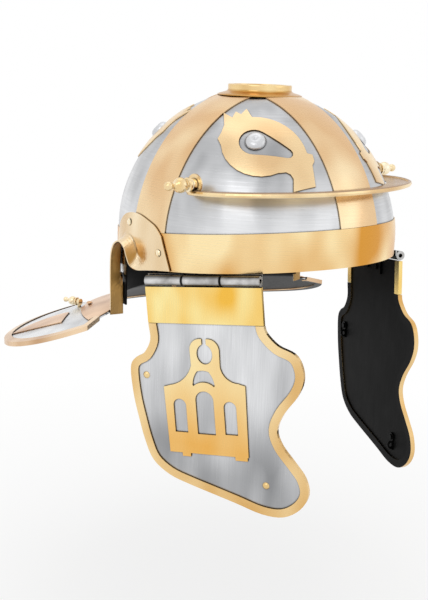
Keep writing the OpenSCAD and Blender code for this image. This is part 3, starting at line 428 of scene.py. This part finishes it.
# %% Mix the hinge steel
# the hinge pin's direction, and its middle and the gap's distance from that, in metres
PIN_LINE = {"right": (-0.4041, 0.9077, -0.1132), "left": (0.4041, 0.9077, -0.1132)}
PIN_MIDDLE, GAP_FROM_MIDDLE = -0.00346, 0.01443
GAP_SHADE_FULL, GAP_SHADE_END = 0.0006, 0.0013  # the painted shade's reach along the pin, from the middle of a gap
# the darkest tone is painted shade
ROLLED, ROLLED_DARK, HINGE_SHADE = linear("#DCDBDA"), linear("#A3A19F"), linear("#050505")


def hinge_steel(name, outward, limit, pin_line=None):
    """Strip as it was rolled, with painted shade above and below its barrel and in the knuckle
    gaps.
    """
    material, tree, coords = new_material(name)
    patches = add(tree, "TexNoise", {"Vector": coords.outputs["Object"], "Scale": per_mm(9),
                                     "Detail": 2.0})
    dark = add(tree, "MapRange", {"Value": patches, "From Min": 0.35, "From Max": 0.7})
    tone = add(tree, "Mix", {SHARE: dark, FROM: ROLLED, TO: ROLLED_DARK}, data_type="RGBA")
    # painted shade above and below the barrel, so that it reads as round
    for up_or_down in ((0, 0, 1), (0, 0, -1)):
        shaded = towards(tree, coords, up_or_down, start=0.25, end=0.9, most=0.9)
        tone = add(tree, "Mix", {SHARE: shaded, FROM: tone, TO: HINGE_SHADE}, data_type="RGBA")
    # painted shade in the knuckle gaps
    if pin_line:
        along = add(tree, "VectorMath", {0: coords.outputs["Object"], 1: pin_line},
                    operation="DOT_PRODUCT")
        # folded at the pin's middle and then at the gap, it is the distance to the nearest gap
        for fold in (PIN_MIDDLE, GAP_FROM_MIDDLE):
            past = add(tree, "Math", {0: along, 1: fold}, operation="SUBTRACT")
            along = add(tree, "Math", {0: past}, operation="ABSOLUTE")
        shaded = add(tree, "MapRange", {"Value": along, "From Min": GAP_SHADE_FULL,
                                       "From Max": GAP_SHADE_END, "To Min": 0.97, "To Max": 0.0})
        tone = add(tree, "Mix", {SHARE: shaded, FROM: tone, TO: HINGE_SHADE}, data_type="RGBA")
    # painted shade in the corners
    tone = shade_and_dirt_in_corners(tree, tone, HINGE_SHADE, reach_mm=4.0, shut=0.45, free=0.95, most=0.95)
    rough = add(tree, "MapRange", {"Value": patches, "From Min": 0.3, "From Max": 0.7,
                                   "To Min": 0.2, "To Max": 0.3})
    tone, rough, metallic = painted_inside(tree, coords, tone, rough, outward, limit)
    normal = add(tree, "Bump", {"Height": patches, "Distance": 0.1 / 1000, "Strength": 0.15})
    metal_surface(tree, tone, rough, metallic, normal)
    return material


# %% Roll the hinge strip
strip_steel = {side: hinge_steel("hinge_strip_steel_" + side, SIDE_OUT[side], limit=-0.35,
                                 pin_line=PIN_LINE[side]) for side in SIDE_OUT}
rivet_steel = hinge_steel("hinge_rivet_steel", "middle", limit=0.1)
EVERY_WAY = 2.0  # past every cosine, so the whole loop is painted
loop_steel = hinge_steel("painted_loop_steel", "middle", EVERY_WAY)
print("hinge steel for", sorted(strip_steel), "hinges, the rivets and the loops")

# %% [markdown]
# ## Give each part its finish
# Each solid part takes the material of the sheet that the real piece was cut from. Parts could
# be given theirs one by one, but they come in families whose names start alike, so a table from
# the start of a name to a finish does it in one loop.

# %% Assign the finishes
FINISHES = {
    "skull_bowl": bowl_steel, "eye_bosses": boss_steel, "neck_guard": neck_steel,
    "rim_band": rim_brass, "cross_band": strap_brass, "brow_guard": shelf_brass,
    "crest_": collar_brass, "brow_finial": turned_brass, "neck_peg": turned_brass,
    "bird": bird_brass, "ear_guard": ear_brass, "ear_rivets": turned_brass,
    "nape": neck_brass, "neck_leaf": neck_brass, "neck_guard_binding": neck_edge_brass,
    "hinge_rivets": rivet_steel, "tie_loops": loop_steel,
}
for side in SIDE_OUT:
    FINISHES.update({
        "cheek_plate_" + side: plate_steel[side], "cheek_binding_" + side: edge_brass[side],
        "cheek_rivets_" + side: rivet_brass[side], "cheek_strip_" + side: strip_brass,
        "temple_" + side: temple_brass, "cheek_hinge_" + side: strip_steel[side],
        "hinge_skull_" + side: strip_steel[side], "hinge_pin_" + side: strip_steel[side],
    })


def finish_of(node_name):
    """The finish whose key is the longest start of the node's name."""
    return FINISHES[max((key for key in FINISHES if node_name.startswith(key)), key=len)]


for node_name, part in nodes.items():
    part.data.materials.clear()
    part.data.materials.append(finish_of(node_name))
print({node_name: finish_of(node_name).name for node_name in list(nodes)[:6]}, "...")

# %% [markdown]
# ## The crest collar
# The collar was turned on a lathe: a straight wall that springs from a thin flared foot in one
# smooth hollow curve. The solid part has a plain sloping foot there. A stack of cylinders and
# cones would leave steps, so a profile is spun round the upright axis, as the lathe did it, and
# the new collar stands in the solid one's place.

# %% Draw the collar's profile
# radius and height in millimetres, from the foot's edge up the wall and down the bore
CROWN_TOP, CROWN_CURVE = 127.1, 188.4  # the bands' top, and twice the radius of their curve
FOOT_THICK = 0.95
foot_under = [(r, CROWN_TOP - r * r / CROWN_CURVE) for r in (18.6, 21, 24, 27, 30, 31.4)]
foot_top = [(r, CROWN_TOP + FOOT_THICK - r * r / CROWN_CURVE)
            for r in (31.2, 30, 28.5, 27, 25.9)]
lowest = foot_under[-1][1]
foot_edge = [(31.9, lowest + 0.05), (32.0, lowest + 0.5)]
hollow = [(25.1, 124.85), (24.6, 125.15), (24.25, 125.6), (24.05, 126.1), (24.0, 126.7)]
wall = [(24.0, 128.2), (24.0, 129.5), (23.85, 129.85), (23.5, 129.99), (22, 130)]
bore = [(20.9, 129.98), (20.6, 129.85), (20.5, 129.5), (20.5, 127.8), (19.9, 127.8),
        (19.9, 126.6), (18.6, 126.6)]
profile = foot_edge + foot_top + hollow + wall + bore + foot_under
print("profile of", len(profile), "points")

# %% Turn the collar
STEPS, SHARP = 144, math.radians(35)


def spun(name, profile):
    """A closed profile of (radius, height) in millimetres, spun round the upright axis."""
    turns = [2 * math.pi * i / STEPS for i in range(STEPS)]
    points = [(r * math.cos(a) / 1000, r * math.sin(a) / 1000, z / 1000)
              for a in turns for r, z in profile]
    count = len(profile)
    faces = [(i * count + j, (i + 1) % STEPS * count + j,
              (i + 1) % STEPS * count + (j + 1) % count, i * count + (j + 1) % count)
             for i in range(STEPS) for j in range(count)]
    mesh = bpy.data.meshes.new(name)
    mesh.from_pydata(points, [], faces)
    mesh.shade_smooth()
    mesh.set_sharp_from_angle(angle=SHARP)
    piece = bpy.data.objects.new(name, mesh)
    scene.collection.objects.link(piece)
    return piece


collar = spun("turned_crest_collar", profile)
collar.data.materials.append(collar_brass)
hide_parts("crest_collar")
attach(collar, "skull")
print("collar of", len(collar.data.polygons), "faces")

# %% [markdown]
# ## The floor
# In a studio the helmet would stand on pale paper that curves up behind it. A curved backdrop
# would show its bend in some views, so here the paper is one flat square. Near the helmet it
# takes a soft shadow, and further out it fades to the plain white of the background.

# %% Lay the floor
FLOOR_Z, FLOOR_REACH = -0.30, 6.0
FADE_START, FADE_END = 0.15, 0.6  # metres from the middle, between which the paper fades
NEAR_SHARE = 0.7  # how much plain white the paper has before that
PAPER, WHITE = linear("#F4F4F3"), linear("#FFFFFF")


def pale_floor():
    """Paper that takes a shadow in the middle and turns to plain white further out."""
    material, tree, coords = new_material("pale_paper")
    paper = add(tree, "BsdfDiffuse", {"Color": PAPER})
    white = add(tree, "Emission", {"Color": WHITE, "Strength": 1.0})
    far = add(tree, "VectorMath", {0: coords.outputs["Object"]}, operation="LENGTH")
    fade = add(tree, "MapRange", {"Value": far, "From Min": FADE_START, "From Max": FADE_END,
                                  "To Min": NEAR_SHARE, "To Max": 1.0})
    path = add(tree, "LightPath")
    seen = path.outputs["Is Camera Ray"]
    for ray in ("Is Glossy Ray", "Is Transmission Ray"):
        seen = add(tree, "Math", {0: seen, 1: path.outputs[ray]}, operation="ADD",
                   use_clamp=True)
    share = add(tree, "Math", {0: fade, 1: seen}, operation="MULTIPLY")
    mix = add(tree, "MixShader", {0: share, 1: paper, 2: white})
    add(tree, "OutputMaterial", {"Surface": mix})
    return material


floor_mesh = bpy.data.meshes.new("floor")
square = [(x * FLOOR_REACH, y * FLOOR_REACH, 0) for x, y in ((-1, -1), (1, -1), (1, 1), (-1, 1))]
floor_mesh.from_pydata(square, [], [(0, 1, 2, 3)])
floor_mesh.materials.append(pale_floor())
floor = bpy.data.objects.new("floor", floor_mesh)
floor.location.z = FLOOR_Z
scene.collection.objects.link(floor)
print("floor at", FLOOR_Z, "m")

# %% [markdown]
# ## The lamps
# Polished metal is photographed with large soft lamps that draw long highlights, where small
# ones would leave hard hot spots. Metal mirrors each lamp on top of the white tent of the next
# step, so strong lamps would burn out to a flat white. These are wide and weak, and only give
# the sheets a bright side and a darker one.

# %% Hang the lamps
# each lamp's place and width in metres, and its watts; all of them face the helmet's middle
LAMPS = {"key_lamp": ((-1.3, -0.5, 1.1), 0.9, 2.4), "fill_lamp": ((0.9, -1.4, 0.7), 0.9, 0.8),
         "top_lamp": ((0.1, 0.3, 1.5), 1.0, 1.2)}
for name, (lamp_place, width, watts) in LAMPS.items():
    lamp_data = bpy.data.lights.new(name, "AREA")
    lamp_data.shape = "SQUARE"
    lamp_data.size = width
    lamp_data.energy = watts
    lamp = bpy.data.objects.new(name, lamp_data)
    lamp.location = lamp_place
    lamp.rotation_euler = (-Vector(lamp_place)).to_track_quat("-Z", "Y").to_euler()
    scene.collection.objects.link(lamp)
print(len(LAMPS), "soft lamps")

# %% [markdown]
# ## The tent
# Round the helmet hangs a white tent, as in a catalogue photograph of metal. A modelled tent
# would hide the helmet from the outside, so the world's light plays its part: brightest overhead
# and duller near the ground, which gives the shapes their shading. The camera and the metal's
# reflections see it as plain white.

# %% Light the tent
GROUND_LIGHT, OVERHEAD_LIGHT = 0.55, 0.9
world = bpy.data.worlds.new("white_tent")
scene.world = world
world.use_nodes = True
tree = world.node_tree
tree.nodes.clear()
direction = add(tree, "TexCoord")
height = add(tree, "SeparateXYZ", {0: direction.outputs["Generated"]})
strength = add(tree, "MapRange", {"Value": height.outputs["Z"], "From Min": -0.3,
                                  "From Max": 0.7, "To Min": GROUND_LIGHT,
                                  "To Max": OVERHEAD_LIGHT})
path = add(tree, "LightPath")
for ray in ("Is Camera Ray", "Is Glossy Ray", "Is Transmission Ray"):
    strength = add(tree, "Math", {0: strength, 1: path.outputs[ray]}, operation="MAXIMUM")
sky = add(tree, "Background", {"Color": WHITE, "Strength": strength})
add(tree, "OutputWorld", {"Surface": sky})
scene.view_settings.view_transform = "Standard"
print("tent lit from", GROUND_LIGHT, "to", OVERHEAD_LIGHT)
